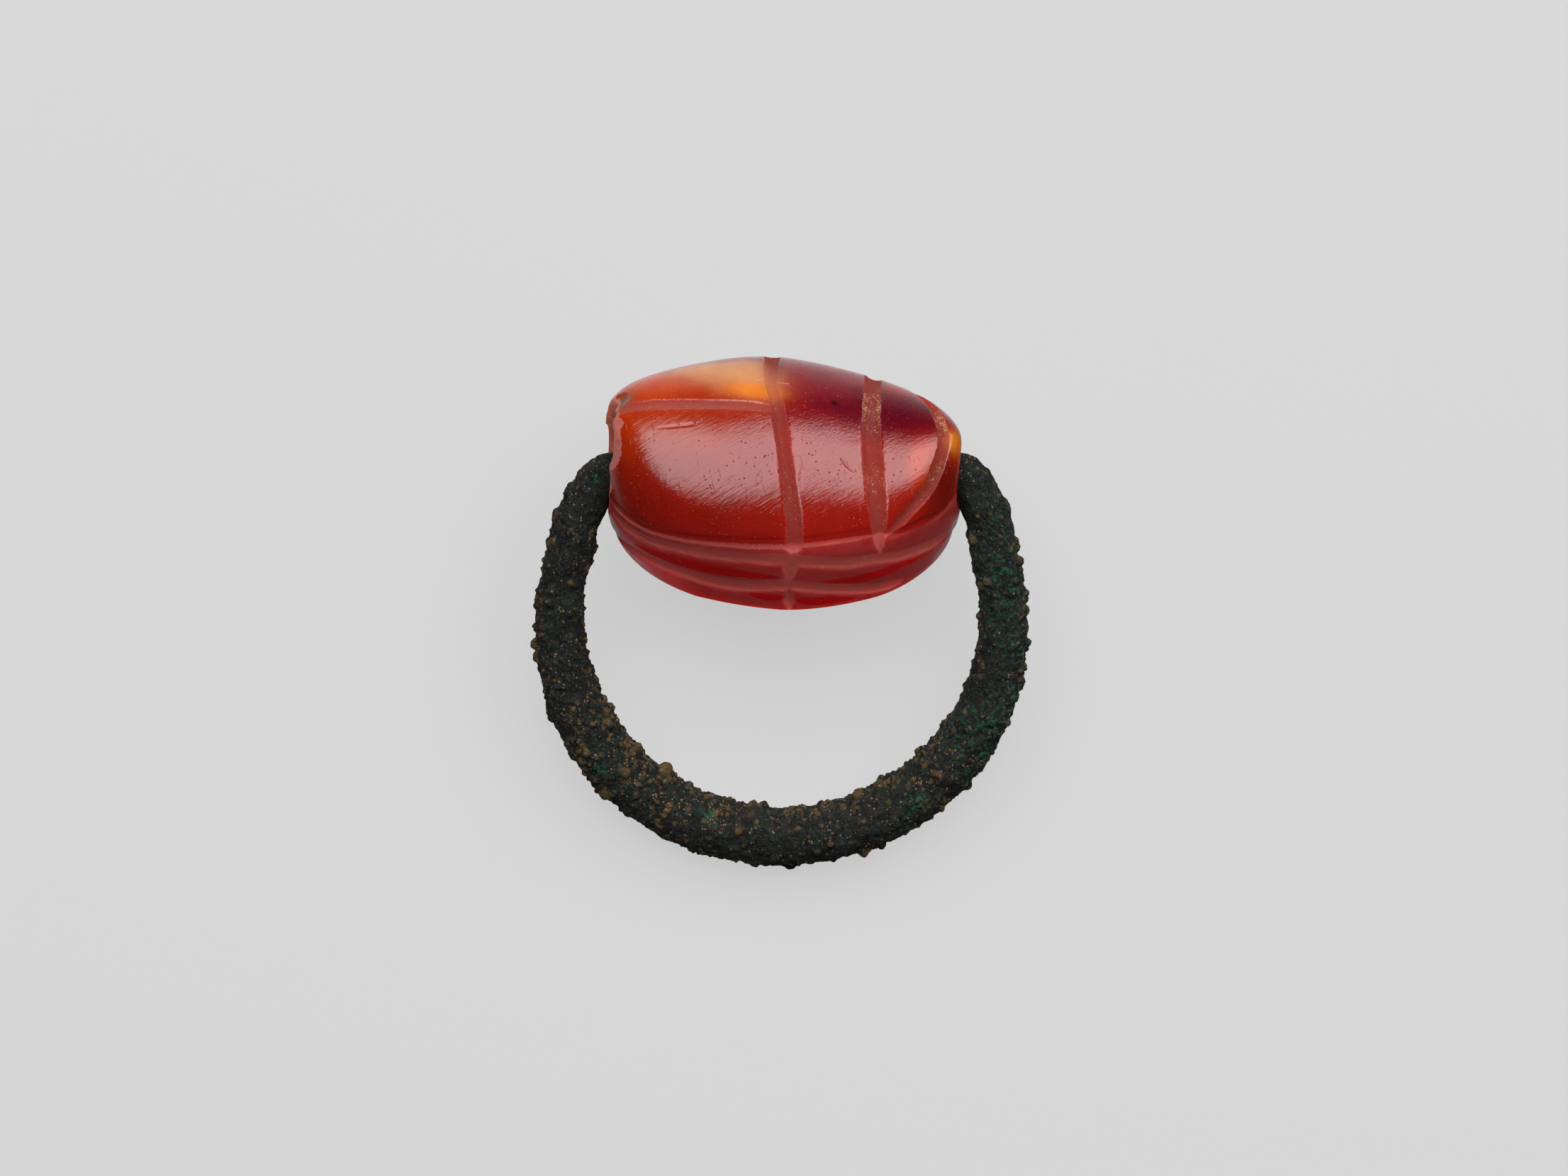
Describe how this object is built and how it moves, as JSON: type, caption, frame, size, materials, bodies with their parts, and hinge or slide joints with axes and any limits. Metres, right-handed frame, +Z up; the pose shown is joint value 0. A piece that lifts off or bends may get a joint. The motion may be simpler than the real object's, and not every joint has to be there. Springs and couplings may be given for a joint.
{
  "type": "scarab swivel ring",
  "caption": "Carnelian scarab with a carved back and a plain flat base, turning on the tapered ends of a corroded bronze finger-ring hoop.",
  "frame": {"origin": "on the table, under the middle of the ring's overall box as it lies", "axes": "+X along the bore towards the beetle's head, +Y from the hoop towards the stone, +Z up off the table; the back leans 39.6 degrees to +Y and the hoop's plane tilts 16 degrees down to -Y"},
  "size_m": [0.023, 0.0238, 0.0112],
  "materials": {
    "carnelian": "polished",
    "corroded_bronze": "matte"
  },
  "bodies": {
    "hoop": {"hoop": "corroded_bronze"},
    "scarab": {"scarab": "carnelian"}
  },
  "joints": [
    {"name": "swivel", "type": "hinge", "parent": "hoop", "child": "scarab", "pos_m": [0.00017, 0.00671, 0.00623], "axis": [1, 0, 0], "continuous": true}
  ]
}
